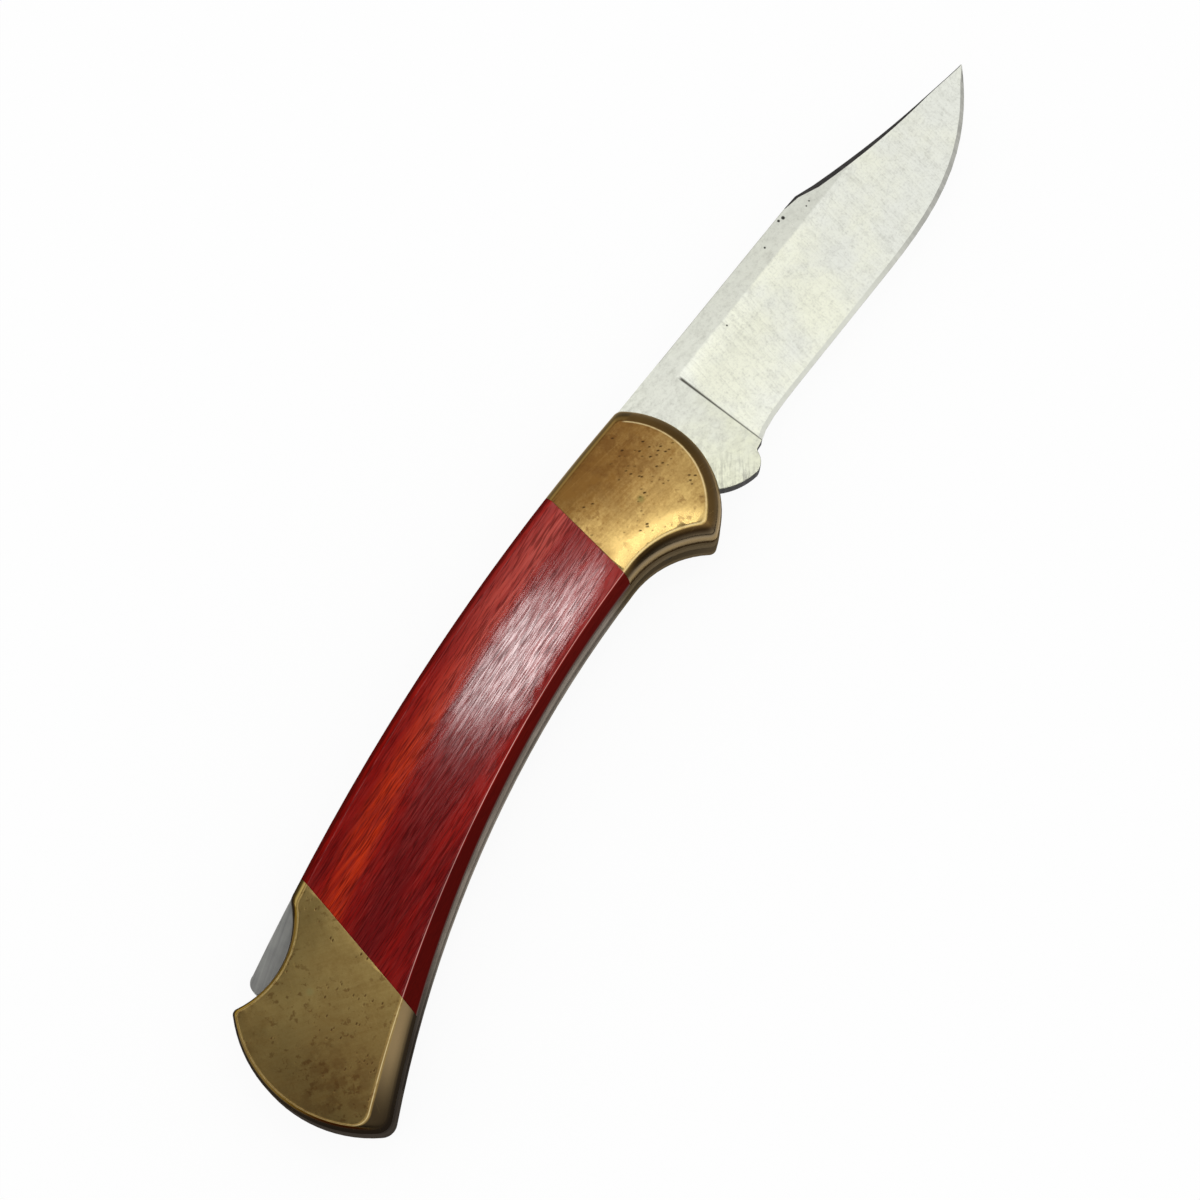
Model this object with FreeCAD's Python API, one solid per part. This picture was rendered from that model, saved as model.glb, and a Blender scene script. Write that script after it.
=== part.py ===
import FreeCAD, Part
import math
import os

# Lockback folding knife, lying open on its left side, in millimetres.
# Origin: where the pivot axis meets the surface the knife lies on.
# X runs along the blade to the point, Y towards the spine, Z up through the handle.

os.makedirs("parts", exist_ok=True)
Vec = FreeCAD.Vector
UP = Vec(0, 0, 1)

# Blade
blade_reach = 95.8          # pivot axis to the point, along the blade
tip_rise = 5.65             # point above the pivot axis
spine_height = 13.35        # spine above the pivot axis
edge_depth = 6.9            # cutting edge below the pivot axis
blade_thickness = 3.0
plunge = 21.5               # pivot axis to the start of the hollow grind
flat_band = 3.9             # flat strip left under the spine
clip_start = 59.0           # pivot axis to the start of the clip
clip_hollow = 0.95          # how far the clip dips below a straight line
belly_start = 55.0          # pivot axis to where the edge starts to rise
belly_power = 3.1
heel_drop = 1.3             # extra depth of the edge at the heel
heel_run = 2.6
spine_ease = 0.15
swedge_width = 1.05         # of the false edge along the clip
swedge_start = 56.0         # pivot axis to its start
swedge_end = 88.0           # pivot axis to where it runs out
swedge_run = 6.0            # length over which it comes in
swedge_fade = 2.0           # how late it narrows towards the point
edge_bevel = 0.8            # height of the sharpened bevel
edge_shoulder = 0.6         # thickness above the sharpened bevel
edge_land = 0.1             # thickness at the very edge
hollow_power = 1.5
swedge_share = 0.2          # shares of the blade's height that hold near the point
bevel_share = 0.25
band_share = 0.1
kick_reach = 16.75          # lowest point of the kick, from the pivot axis
kick_depth = 10.95
kick_run = 6.3              # length and height of the round under the kick
kick_rise = 3.1
kick_nose = 2.85            # length and height of the round in front of the kick
kick_nose_rise = 2.45
kick_bow = 0.55             # bulge of the two rounds
kick_nose_bow = 0.62
nick_from_pivot = 44.0      # nail nick, on the left side only
nick_below_spine = 2.0
nick_width = 1.3
nick_wheel = 22.0
nick_depth = 0.55

# Pivot
pin_radius = 2.3
bushing_radius = 3.2
washer_radius = 6.4
washer_thickness = 0.12
side_play = 0.03            # each side of the blade
press_gap = 0.01            # between a fixed pin and its hole
turn_gap = 0.03             # between a turning piece and its pin

# Lock
tang_radius = 8.8
tang_under_angle = -48.0    # degrees, end of the round under the tang
tooth_front = 1.0           # front face of the tooth, behind the pivot axis
tooth_width = 3.4
lock_gap = 0.25             # fore and aft of the tooth in its notch
nose_gap = 0.12             # tooth over the round tang when the lock is released
floor_gap = 0.2             # under the tooth when the lock is engaged
lock_travel = 1.75          # degrees, from released to engaged
bar_play = 0.1              # each side of the lock bar
bar_inset = 0.05            # lock bar below the back of the liners, over the pivot
bar_back_radius = 412.0
bar_height = 5.2            # height of the bar behind its pin
bar_clear = 0.25            # bar over the blade when the knife is closed
bar_waist = 6.6             # height of the bar just in front of its pin
bar_end_from_notch = 2.9    # end of the bar behind the middle of the thumb notch
bar_end_corner = 2.0
rocker_back = 48.0          # rocker pin behind the pivot axis
rocker_radius = 1.5
spring_thickness = 1.1
spring_play = 0.15          # each side of the spring
spring_touch = 0.05         # spring under the bar
spring_free_end = 17.0      # free end of the spring behind the rocker pin
spring_bow = 0.9
spring_eye = 2.2
eye_web = 1.95              # between the spring's eye and the upper rivet
eye_angle = -78.0           # degrees, eye from the upper rivet
spring_pin_radius = 1.0
eye_gap = 0.1

# Handle
liner_thickness = 1.5
side_thickness = 4.35       # bolsters and scales
edge_step = 0.12            # liners proud of the bolsters and scales
belly_step = 0.45           # the same along the belly and the finger groove
wall_draft = 0.3            # bolsters and scales lean in by this much below the bevel
bevel_depth = 1.8
back_crease = 1.8           # flat face in from the edge of the liners
front_crease = 2.7
butt_crease = 0.8
notch_crease = 1.1
belly_crease = 2.05         # where the finger groove runs into the belly
crease_choil_back = 9.9
crease_choil_radius = 17.5
crease_belly_radius = 243.0
crease_lean = 1.6
back_radius = 400.0
back_crest = 1.0            # highest point of the back, behind the pivot axis
front_reach = 13.8
front_radius = 16.6
front_rise = 2.5            # middle of the round front above the pivot axis
choil_back = 11.2           # where the finger groove runs into the belly
choil_depth = 7.0
choil_radius = 16.5
belly_radius = 205.0
belly_lean = 1.2            # degrees, slope of the belly at the finger groove
tip_cover = 4.1             # closed point inside the edge of the belly
rear_margin = 15.2          # handle beyond the reach of the blade
rear_radius = 22.0
rear_drop = 4.85            # middle of the round butt below the middle of the handle
notch_radius = 15.2
notch_depth = 3.05
notch_from_end = 13.7
front_corner = 1.8
quillon_corner = 1.3
butt_corner = 2.5
flare_corner = 1.0
notch_corner = 2.0
front_joint = 10.85         # bolster joint behind the pivot axis
front_joint_lean = 7.8      # degrees
rear_joint = 28.2           # bolster joint ahead of the end of the butt
rear_joint_lean = 11.5
spacer_front = 9.9          # spacer ahead of the end of the butt, at the thumb notch
spacer_lean = -7.0
rivet_radius = 1.5
rivet_margin = 3.0          # rivets in from the edge of the butt
rivet_notch_margin = 5.9    # upper rivet from the thumb notch
rivet_belly_margin = 7.2    # lower rivet from the belly
bolster_pin_radius = 0.9
bolster_pin_depth = 2.2     # how far the hidden pins reach into the front bolsters
bolster_pin_ring = 8.4      # hidden pins from the pivot axis
bolster_pin_angles = (40.0, 150.0)

# Heights through the handle
slot_width = blade_thickness + 2 * (washer_thickness + side_play)
z_left_liner = side_thickness
z_slot = z_left_liner + liner_thickness
z_right_liner = z_slot + slot_width
z_right_side = z_right_liner + liner_thickness
z_top = z_right_side + side_thickness
z_middle = z_top / 2


def at(x, y, z=0.0):
    return Vec(x, y, z)


def polar(radius, degrees):
    turn = math.radians(degrees)
    return at(radius * math.cos(turn), radius * math.sin(turn))


def meet(centre_a, radius_a, centre_b, radius_b, near):
    """The point where two circles cross that lies nearest to a given point."""
    gap = centre_b - centre_a
    reach = gap.Length
    along = (reach ** 2 + radius_a ** 2 - radius_b ** 2) / (2 * reach)
    across = math.sqrt(radius_a ** 2 - along ** 2)
    way = gap / reach
    side = at(-way.y, way.x)
    points = [centre_a + way * along + side * (across * sign) for sign in (1, -1)]
    return min(points, key=lambda point: (point - near).Length)


def arc(start, middle, end):
    return Part.Arc(start, middle, end).toShape()


def arc_about(centre, radius, start, end):
    middle = (start - centre) + (end - centre)
    return arc(start, centre + middle * (radius / middle.Length), end)


def bowed(start, end, bow):
    """Middle of a shallow arc that bows out to the right of the way from start to end."""
    way = end - start
    return (start + end) * 0.5 + at(way.y, -way.x) * (bow / way.Length)


def line(start, end):
    return Part.makeLine(start, end)


def slab(edges, z_from, z_to):
    wire = Part.Wire(edges)
    wire.translate(at(0, 0, z_from))
    return Part.Face(wire).extrude(at(0, 0, z_to - z_from))


def pin(place, radius, z_from, z_to):
    return Part.makeCylinder(radius, z_to - z_from, at(place.x, place.y, z_from), UP)


def leaning_block(x_joint, lean):
    """Everything ahead of a joint line that leans and crosses the X axis at x_joint."""
    size = 4 * blade_reach
    block = Part.makeBox(size, 2 * size, 2 * size, at(0, -size, -size))
    block.rotate(at(0, 0), UP, -lean)
    block.translate(at(x_joint, 0))
    return block


def mirrored(shape):
    return shape.mirror(at(0, 0, z_middle), UP)


# The handle's outline is six arcs: back, thumb notch, butt, belly, finger groove and front.
pivot = at(0, 0)
back_height = spine_height
back_centre = at(-back_crest, back_height - back_radius)
front_centre = at(front_reach - front_radius, front_rise)
belly_centre = at(-choil_back, -choil_depth) + polar(belly_radius, belly_lean - 90.0)
rear_x = -(blade_reach + rear_margin)


def back_y(x):
    return back_centre.y + math.sqrt(back_radius ** 2 - (x - back_centre.x) ** 2)


def belly_y(x):
    return belly_centre.y + math.sqrt(belly_radius ** 2 - (x - belly_centre.x) ** 2)


rear_mid_x = rear_x + rear_radius
rear_centre = at(rear_mid_x, (back_y(rear_mid_x) + belly_y(rear_mid_x)) / 2 - rear_drop)
notch_x = rear_x + notch_from_end
notch_floor = at(notch_x, back_y(notch_x) - notch_depth)
notch_centre = notch_floor + at(0, notch_radius)


def outline(back=0.0, notch=0.0, butt=0.0, front=0.0, belly=0.0, groove_back=choil_back,
            groove_radius=choil_radius, hollow_radius=belly_radius, lean=belly_lean):
    """Edges of the handle's outline, each arc drawn in from the liners' edge by its own inset."""
    groove_end = at(-groove_back, belly - choil_depth)
    down = polar(1.0, lean - 90.0)
    # centre, radius, and which way the arc bends: 1 bulges out, -1 hollows in
    arcs = [
        (back_centre, back_radius - back, 1),
        (notch_centre, notch_radius + notch, -1),
        (rear_centre, rear_radius - butt, 1),
        (groove_end + down * hollow_radius, hollow_radius, -1),
        (groove_end + down * groove_radius, groove_radius, -1),
        (front_centre, front_radius - front, 1),
    ]
    # rounding of the corner after each arc, and a point near that corner
    corners = [
        (notch_corner, at(notch_x + notch_radius, back_height)),
        (flare_corner, at(rear_x, notch_floor.y)),
        (butt_corner, at(rear_mid_x - rear_radius / 2, rear_centre.y - rear_radius)),
        (None, groove_end),
        (quillon_corner, at(0, -choil_depth - choil_radius / 2)),
        (front_corner, at(front_reach, back_height)),
    ]
    ends, starts, rounds = [], [], []
    for index, (rounding, near) in enumerate(corners):
        centre_a, radius_a, bend_a = arcs[index]
        centre_b, radius_b, bend_b = arcs[(index + 1) % len(arcs)]
        if rounding is None:
            ends.append(near)
            starts.append(near)
            rounds.append(None)
            continue
        corner = meet(centre_a, radius_a, centre_b, radius_b, near)
        middle = meet(centre_a, radius_a - bend_a * rounding,
                      centre_b, radius_b - bend_b * rounding, corner)
        ends.append(centre_a + (middle - centre_a) * (radius_a / (middle - centre_a).Length))
        starts.append(centre_b + (middle - centre_b) * (radius_b / (middle - centre_b).Length))
        rounds.append(middle + (corner - middle) * (rounding / (corner - middle).Length))
    edges = []
    for index, (centre, radius, bend) in enumerate(arcs):
        edges.append(arc_about(centre, radius, starts[index - 1], ends[index]))
        if rounds[index] is not None:
            edges.append(arc(ends[index], rounds[index], starts[index]))
    return edges


# The blade when it is closed: the point lies just inside the edge of the belly.
tip = at(blade_reach, tip_rise)
closed_tip = meet(pivot, tip.Length, belly_centre, belly_radius + tip_cover, at(rear_x, belly_y(rear_x)))
fold_angle = math.degrees(math.atan2(tip.y, tip.x) - math.atan2(closed_tip.y, closed_tip.x))


def closed(point):
    turned = Vec(point)
    turn = math.radians(-fold_angle)
    turned.x = point.x * math.cos(turn) - point.y * math.sin(turn)
    turned.y = point.x * math.sin(turn) + point.y * math.cos(turn)
    return turned


# Blade
def spine_line(x):
    if x <= clip_start:
        return spine_height
    share = (x - clip_start) / (blade_reach - clip_start)
    return spine_height + (tip_rise - spine_height) * share - 4 * clip_hollow * share * (1 - share)


def edge_line(x):
    heel = heel_drop * math.exp(-(x - plunge) / heel_run)
    share = max(0.0, (x - belly_start) / (blade_reach - belly_start))
    return -edge_depth - heel + (tip_rise + edge_depth) * share ** belly_power


def swedge(x):
    if x <= swedge_start or x >= swedge_end:
        return spine_ease
    share = (x - swedge_start) / (swedge_end - swedge_start)
    onset = min((x - swedge_start) / swedge_run, 1.0)
    return spine_ease + swedge_width * onset * (1 - share ** swedge_fade)


def blade_section(x):
    """Closed section of the ground blade: spine, bevels, hollow and edge, then back up the far side."""
    top = spine_line(x)
    bottom = edge_line(x)
    height = top - bottom
    ease = min(swedge(x), swedge_share * height)
    shoulder = bottom + min(edge_bevel, bevel_share * height)
    grind = spine_height - flat_band

    def half(y):
        share = min(1.0, (y - shoulder) / (grind - shoulder))
        return (edge_shoulder + (blade_thickness - edge_shoulder) * share ** hollow_power) / 2

    grind_top = min(grind, top - ease - band_share * height)
    side = [(top, max(half(top - ease) - ease, edge_land)), (top - ease, half(top - ease))]
    for step in range(hollow_steps, -1, -1):
        y = shoulder + (grind_top - shoulder) * step / hollow_steps
        side.append((y, half(y)))
    side.append((bottom, edge_land / 2))
    points = [at(x, y, z_middle + z) for y, z in side]
    points += [at(x, y, z_middle - z) for y, z in reversed(side)]
    return Part.makePolygon(points + points[:1])


straight_steps = 8
clip_steps = 16
hollow_steps = 4
tip_blunt = 0.006           # the point ends this share of the clip short
straight = swedge_start - plunge
stations = [plunge + straight * (step / straight_steps) ** 2 for step in range(straight_steps + 1)]
for step in range(clip_steps + 1):
    share = (1.0 - tip_blunt) * math.sin(0.5 * math.pi * step / clip_steps)
    stations.append(clip_start + (blade_reach - clip_start) * share)
ground_blade = Part.makeLoft([blade_section(x) for x in stations], True, True)

bar_centre = at(-back_crest, back_height - bar_inset - bar_back_radius)


def bar_top(x):
    return at(x, bar_centre.y + math.sqrt(bar_back_radius ** 2 - (x - bar_centre.x) ** 2))


def bar_under(x):
    return bar_top(x) - at(0, bar_height)


rocker = bar_top(-rocker_back) - at(0, bar_waist / 2)
tooth_rear = -(tooth_front + tooth_width)
tooth_drop = (rocker_back - tooth_front) * math.sin(math.radians(lock_travel))
notch_bottom = tang_radius + nose_gap - tooth_drop - floor_gap


def on_ring(radius, x):
    return at(x, math.sqrt(radius ** 2 - x ** 2))


kick_low = at(kick_reach, -kick_depth)
kick_start = kick_low + at(-kick_run, kick_rise)
kick_end = kick_low + at(kick_nose, kick_nose_rise)
kick_under = bowed(kick_start, kick_low, kick_bow)
kick_front = bowed(kick_low, kick_end, kick_nose_bow)
heel = at(plunge, edge_line(plunge))
tang_under = polar(tang_radius, tang_under_angle)
notch_front_x = -tooth_front + lock_gap
notch_rear_x = tooth_rear - lock_gap
notch_front = at(notch_front_x, spine_height)
notch_rear = at(notch_rear_x, spine_height)
floor_front = on_ring(notch_bottom, notch_front_x)
floor_rear = on_ring(notch_bottom, notch_rear_x)
tooth_room = slab([
    arc_about(pivot, notch_bottom, floor_front, floor_rear),
    line(floor_rear, notch_rear),
    line(notch_rear, notch_front),
    line(notch_front, floor_front),
], 0, z_top)
closed_room = tooth_room.copy()
closed_room.rotate(pivot, UP, fold_angle)
tang_edges = [
    line(at(plunge, spine_height), notch_front),
    line(notch_front, on_ring(tang_radius, notch_front_x)),
    arc(on_ring(tang_radius, notch_front_x), at(-tang_radius, 0), tang_under),
    line(tang_under, kick_start),
    arc(kick_start, kick_under, kick_low),
    arc(kick_low, kick_front, kick_end),
    line(kick_end, heel),
    line(heel, at(plunge, spine_height)),
]
blade_bottom = z_middle - blade_thickness / 2
blade_top = z_middle + blade_thickness / 2
tang = slab(tang_edges, blade_bottom, blade_top)
# the tooth drops into the same room whether the knife is open or closed
tang = tang.cut(tooth_room).cut(closed_room)
nick_y = spine_height - nick_below_spine - nick_width
nick = Part.makeCylinder(nick_wheel, nick_width, at(0, 0), at(0, 1, 0))
nick.translate(at(nick_from_pivot, nick_y, blade_bottom + nick_depth - nick_wheel))
blade = tang.fuse(ground_blade).removeSplitter()
blade = blade.cut(pin(pivot, bushing_radius + turn_gap, 0, z_top)).cut(nick)

# Pivot
pivot_pin = pin(pivot, pin_radius, 0, z_top)
pivot_bushing = pin(pivot, bushing_radius, z_slot, z_right_liner)
pivot_bushing = pivot_bushing.cut(pin(pivot, pin_radius + press_gap, 0, z_top))
left_washer = pin(pivot, washer_radius, z_slot, z_slot + washer_thickness)
left_washer = left_washer.cut(pin(pivot, bushing_radius + press_gap, 0, z_top))
right_washer = mirrored(left_washer)

# Lock bar, at rest with its tooth just lifted out of the notch
kick_arc = [closed(point) for point in (kick_start, kick_under, kick_low, kick_front, kick_end)]
kick_top = max(point.y for point in kick_arc)
kick_rear_x = min(point.x for point in kick_arc)
bar_lowering = rocker_back * math.sin(math.radians(lock_travel))
nose_under = max(kick_top, tang_radius) + bar_lowering + bar_clear
step_x = kick_rear_x - bar_clear - bar_lowering
bar_rear_x = notch_x - bar_end_from_notch
boss_front = rocker + at(bar_waist / 2, -bar_waist / 2)
boss_rear = rocker + at(-bar_waist / 2, -bar_waist / 2)

tooth_bottom = tang_radius + nose_gap
bar_corner = bar_top(bar_rear_x + bar_end_corner)
bar_low_corner = bar_under(bar_rear_x + bar_end_corner)
bar_end = bar_corner + at(-bar_end_corner, -bar_end_corner)
bar_low_end = bar_low_corner + at(-bar_end_corner, bar_end_corner)
bar_tail = bar_under(boss_rear.x - bar_waist)
neck = at(step_x - bar_waist, (boss_front.y + nose_under) / 2)
bar_edges = [
    arc_about(bar_centre, bar_back_radius, bar_top(-tooth_front), bar_corner),
    arc_about(bar_corner - at(0, bar_end_corner), bar_end_corner, bar_corner, bar_end),
    line(bar_end, bar_low_end),
    arc_about(bar_low_corner + at(0, bar_end_corner), bar_end_corner, bar_low_end, bar_low_corner),
    arc_about(bar_centre - at(0, bar_height), bar_back_radius, bar_low_corner, bar_tail),
    line(bar_tail, boss_rear),
    line(boss_rear, boss_front),
    line(boss_front, neck),
    line(neck, at(step_x, nose_under)),
    line(at(step_x, nose_under), at(tooth_rear, nose_under)),
    line(at(tooth_rear, nose_under), on_ring(tooth_bottom, tooth_rear)),
    arc_about(pivot, tooth_bottom, on_ring(tooth_bottom, tooth_rear), on_ring(tooth_bottom, -tooth_front)),
    line(on_ring(tooth_bottom, -tooth_front), bar_top(-tooth_front)),
]
lock_bar = slab(bar_edges, z_slot + bar_play, z_right_liner - bar_play)
lock_bar = lock_bar.cut(pin(rocker, rocker_radius + turn_gap, 0, z_top))
rocker_pin = pin(rocker, rocker_radius, z_left_liner, z_right_side)

# Rivets through the rear bolsters
rivet_ring = rear_radius - rivet_margin
flare = at(rear_x, notch_floor.y)
butt_toe = at(rear_x, belly_y(rear_x))
rivets = [
    meet(rear_centre, rivet_ring, notch_centre, notch_radius + rivet_notch_margin, flare),
    meet(rear_centre, rivet_ring, belly_centre, belly_radius + rivet_belly_margin, butt_toe),
]

# Leaf spring: a bowed strip with an eye at its fixed end, pressing up under the tail of the bar
eye_centre = rivets[0] + polar(rivet_radius + eye_web + spring_eye, eye_angle)
spring_eye_at = eye_centre + at(0, spring_thickness / 2)
spring_tip_x = rocker.x - spring_free_end
spring_tip = bar_under(spring_tip_x) - at(0, spring_touch)
spring_middle = bowed(spring_eye_at, spring_tip, spring_bow)
z_spring = z_slot + spring_play
z_spring_top = z_right_liner - spring_play


def strip(widen):
    """The leaf between two like arcs, its top edge through the free end."""
    lower = at(0, -spring_thickness - widen)
    upper = at(0, widen)
    ends = [spring_tip, spring_middle, spring_eye_at]
    top = [point + upper for point in ends]
    low = [point + lower for point in ends]
    return [arc(*top), line(top[2], low[2]), arc(*reversed(low)), line(low[0], top[0])]


lock_spring = slab(strip(0.0), z_spring, z_spring_top)
lock_spring = lock_spring.fuse(pin(eye_centre, spring_eye, z_spring, z_spring_top)).removeSplitter()
lock_spring = lock_spring.cut(pin(eye_centre, spring_pin_radius + press_gap, 0, z_top))
spring_pin = pin(eye_centre, spring_pin_radius, z_left_liner, z_right_side)

# Rear spacer between the liners, with a pocket for the spring's eye
ahead_of_spacer = leaning_block(rear_x + spacer_front, spacer_lean)
rear_spacer = slab(outline(), z_slot, z_right_liner).cut(ahead_of_spacer)
rear_spacer = rear_spacer.cut(pin(eye_centre, spring_eye + eye_gap, 0, z_top))
rear_spacer = rear_spacer.cut(slab(strip(eye_gap), 0, z_top))
for rivet in rivets:
    rear_spacer = rear_spacer.cut(pin(rivet, rivet_radius + press_gap, 0, z_top))

# Liners and sides
pin_holes = [(pivot, pin_radius)] + [(rivet, rivet_radius) for rivet in rivets]
inner_holes = [(rocker, rocker_radius), (eye_centre, spring_pin_radius)]
bolster_pin_places = [polar(bolster_pin_ring, angle) for angle in bolster_pin_angles]
bolster_pin_holes = [(place, bolster_pin_radius) for place in bolster_pin_places]
bolster_pin_top = z_right_side + bolster_pin_depth


def drilled(shape, holes, z_from=0.0, z_to=z_top):
    for place, radius in holes:
        shape = shape.cut(pin(place, radius + press_gap, z_from, z_to))
    return shape


right_liner = slab(outline(), z_right_liner, z_right_side)
right_liner = drilled(right_liner, pin_holes + inner_holes + bolster_pin_holes)


def side_ring(z, step, low_step):
    """Outline of the bolsters and scales below the bevel."""
    ring = Part.Wire(outline(step, step, step, step, low_step, choil_back,
                             choil_radius + low_step, belly_radius + low_step))
    ring.translate(at(0, 0, z))
    return ring


crease_ring = Part.Wire(outline(back_crease, notch_crease, butt_crease, front_crease, belly_crease,
                                crease_choil_back, crease_choil_radius, crease_belly_radius, crease_lean))
crease_ring.translate(at(0, 0, z_top))
rings = [
    side_ring(z_right_side, edge_step, belly_step),
    side_ring(z_top - bevel_depth, edge_step + wall_draft, belly_step + wall_draft),
    crease_ring,
]
right_side = Part.makeLoft(rings, True, True)
ahead_of_front_joint = leaning_block(-front_joint, front_joint_lean)
ahead_of_rear_joint = leaning_block(rear_x + rear_joint, rear_joint_lean)
right_front_bolster = drilled(right_side.common(ahead_of_front_joint), pin_holes)
right_front_bolster = drilled(right_front_bolster, bolster_pin_holes, 0.0, bolster_pin_top)
right_scale = right_side.common(ahead_of_rear_joint).cut(ahead_of_front_joint)
right_rear_bolster = drilled(right_side.cut(ahead_of_rear_joint), pin_holes)
right_bolster_pins = Part.makeCompound([
    pin(place, bolster_pin_radius, z_right_liner, bolster_pin_top) for place in bolster_pin_places])

pieces = {
    "blade": blade,
    "pivot_pin": pivot_pin,
    "pivot_bushing": pivot_bushing,
    "left_pivot_washer": left_washer,
    "right_pivot_washer": right_washer,
    "lock_bar": lock_bar,
    "rocker_pin": rocker_pin,
    "lock_spring": lock_spring,
    "spring_pin": spring_pin,
    "rear_spacer": rear_spacer,
    "upper_rear_rivet": pin(rivets[0], rivet_radius, 0, z_top),
    "lower_rear_rivet": pin(rivets[1], rivet_radius, 0, z_top),
}
for name, piece in (
        ("liner", right_liner), ("front_bolster", right_front_bolster), ("scale", right_scale),
        ("rear_bolster", right_rear_bolster), ("front_bolster_pins", right_bolster_pins)):
    pieces["right_" + name] = piece
    pieces["left_" + name] = mirrored(piece)

for name, piece in pieces.items():
    piece.exportStep("parts/" + name + ".step")
    print(name, "solids", len(piece.Solids), "valid", piece.isValid(), "volume", round(piece.Volume, 2))
print("fold angle", round(fold_angle, 2), "rocker pin", [round(value, 3) for value in rocker])
print("length", round(blade_reach - rear_x, 1), "thickness", round(z_top, 2))
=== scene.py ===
import math
import bpy
import bmesh
from mathutils import Matrix, Vector
from mathutils.geometry import intersect_sphere_sphere_2d


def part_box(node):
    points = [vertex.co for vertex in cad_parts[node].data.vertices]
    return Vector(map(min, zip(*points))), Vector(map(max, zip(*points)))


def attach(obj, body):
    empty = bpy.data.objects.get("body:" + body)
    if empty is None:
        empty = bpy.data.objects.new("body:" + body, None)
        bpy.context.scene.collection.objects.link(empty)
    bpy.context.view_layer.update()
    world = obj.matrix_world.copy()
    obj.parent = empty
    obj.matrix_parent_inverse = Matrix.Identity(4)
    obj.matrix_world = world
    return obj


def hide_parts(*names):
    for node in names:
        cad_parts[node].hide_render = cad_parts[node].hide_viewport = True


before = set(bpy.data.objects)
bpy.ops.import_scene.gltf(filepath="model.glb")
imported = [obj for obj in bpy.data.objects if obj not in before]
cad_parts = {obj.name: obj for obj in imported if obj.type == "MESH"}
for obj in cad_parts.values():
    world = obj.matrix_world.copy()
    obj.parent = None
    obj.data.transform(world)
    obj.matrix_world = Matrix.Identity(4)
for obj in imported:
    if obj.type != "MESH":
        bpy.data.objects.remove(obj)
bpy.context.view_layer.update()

mm = 0.001
print("frame loaded:", len(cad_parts), "nodes")


class Wire:
    # an output socket of a node; + - * on values add Math nodes
    def __init__(self, tree, socket=None):
        self.tree = tree
        self.socket = socket

    def add(self, kind, settings=None, links=None, out=0):
        node = self.tree.nodes.new("ShaderNode" + kind)
        for name, value in (settings or {}).items():
            setattr(node, name, value)
        for name, value in (links or {}).items():
            if isinstance(value, Wire):
                self.tree.links.new(value.socket, node.inputs[name])
            else:
                node.inputs[name].default_value = value
        return Wire(self.tree, node.outputs[out])

    def math(self, operation, first, second=0.0):
        return self.add("Math", {"operation": operation}, {0: first, 1: second})

    def __add__(self, other):
        return self.math("ADD", self, other)

    def __sub__(self, other):
        return self.math("SUBTRACT", self, other)

    def __mul__(self, other):
        return self.math("MULTIPLY", self, other)

    def __rsub__(self, other):
        return self.math("SUBTRACT", other, self)

    __radd__ = __add__
    __rmul__ = __mul__

    def rise(self, low, high):
        # 0 below low, 1 above high, smooth between
        return self.add("MapRange", {"interpolation_type": "SMOOTHSTEP"},
                        {"Value": self, "From Min": low, "From Max": high})

    def past(self, low, high):
        # the same for a distance, with its ends in millimetres
        return self.rise(low * mm, high * mm)

    def blend(self, first, second):
        # colour that goes from first to second as this value goes from 0 to 1
        links = {0: self, 6: first, 7: second}
        for place in (6, 7):
            if not isinstance(links[place], Wire):
                links[place] = (*links[place], 1.0)
        return self.add("Mix", {"data_type": "RGBA"}, links, 2)

    def turned(self, degrees, scale, shift=(0.0, 0.0, 0.0)):
        # pattern space turned about Z, then stretched
        spun = self.add("Mapping", {"vector_type": "POINT"},
                        {"Vector": self, "Rotation": (0.0, 0.0, math.radians(degrees)), "Location": shift})
        return spun.add("Mapping", {"vector_type": "POINT"}, {"Vector": spun, "Scale": scale})

    def noise(self, scale, detail=2.0, roughness=0.5, distortion=0.0):
        return self.add("TexNoise", None, {"Vector": self, "Scale": scale, "Detail": detail,
                                           "Roughness": roughness, "Distortion": distortion})

    def cells(self, scale):
        return self.add("TexVoronoi", {"feature": "F1"}, {"Vector": self, "Scale": scale})

    def axis(self, index):
        return self.add("SeparateXYZ", None, {0: self}, index)

    def near(self, place, inner, outer):
        # 1 at a place on the knife, in millimetres along X and Y, fading to 0
        flat = self.add("VectorMath", {"operation": "MULTIPLY"}, {0: self, 1: (1.0, 1.0, 0.0)})
        spot = (place[0] * mm, place[1] * mm, 0.0)
        reach = flat.add("VectorMath", {"operation": "DISTANCE"}, {0: flat, 1: spot}, 1)
        return 1.0 - reach.past(inner, outer)

    def bump(self, depth, strength=1.0):
        return self.add("Bump", None, {"Height": self, "Distance": depth * mm, "Strength": strength})


def newFinish(material, plain, varying):
    # principled shader: even values go straight on its sockets
    tree = material.node_tree
    shader = tree.nodes["Principled BSDF"]
    for socket, value in plain.items():
        shader.inputs[socket].default_value = value
    for socket, wire in varying.items():
        tree.links.new(wire.socket, shader.inputs[socket])
    return material


def startFinish(name):
    # a new material, and the place on the knife that its patterns read
    material = bpy.data.materials.new(name)
    material.use_nodes = True
    wire = Wire(material.node_tree)
    return material, wire.add("TexCoord", None, None, 3)


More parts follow.
